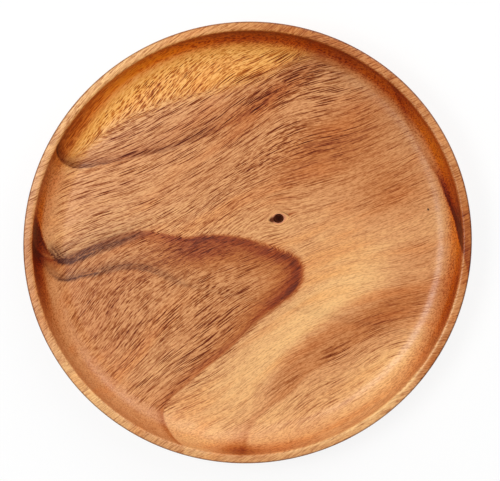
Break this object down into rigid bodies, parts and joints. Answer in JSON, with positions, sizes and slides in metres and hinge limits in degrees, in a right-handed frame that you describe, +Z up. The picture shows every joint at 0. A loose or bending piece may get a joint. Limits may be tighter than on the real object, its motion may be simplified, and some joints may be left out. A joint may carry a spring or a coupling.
{
  "type": "wooden plate",
  "caption": "Round turned wooden plate with a raised rim, a coved flat-bottomed well, a relieved foot and a dead knot in its floor.",
  "frame": {"origin": "middle of the flat surface that the plate stands on", "axes": "+Z up, out of the well; +X along the grain; +Y across the grain"},
  "size_m": [0.254, 0.249, 0.025],
  "materials": {
    "oiled_wood": "satin oil or lacquer over open-pored wood",
    "knot_callus": "satin",
    "dead_knot": "rough, cracked"
  },
  "bodies": {
    "root": {"plate_body": "oiled_wood", "knot_collar": "knot_callus", "knot_heart": "dead_knot"}
  },
  "joints": []
}
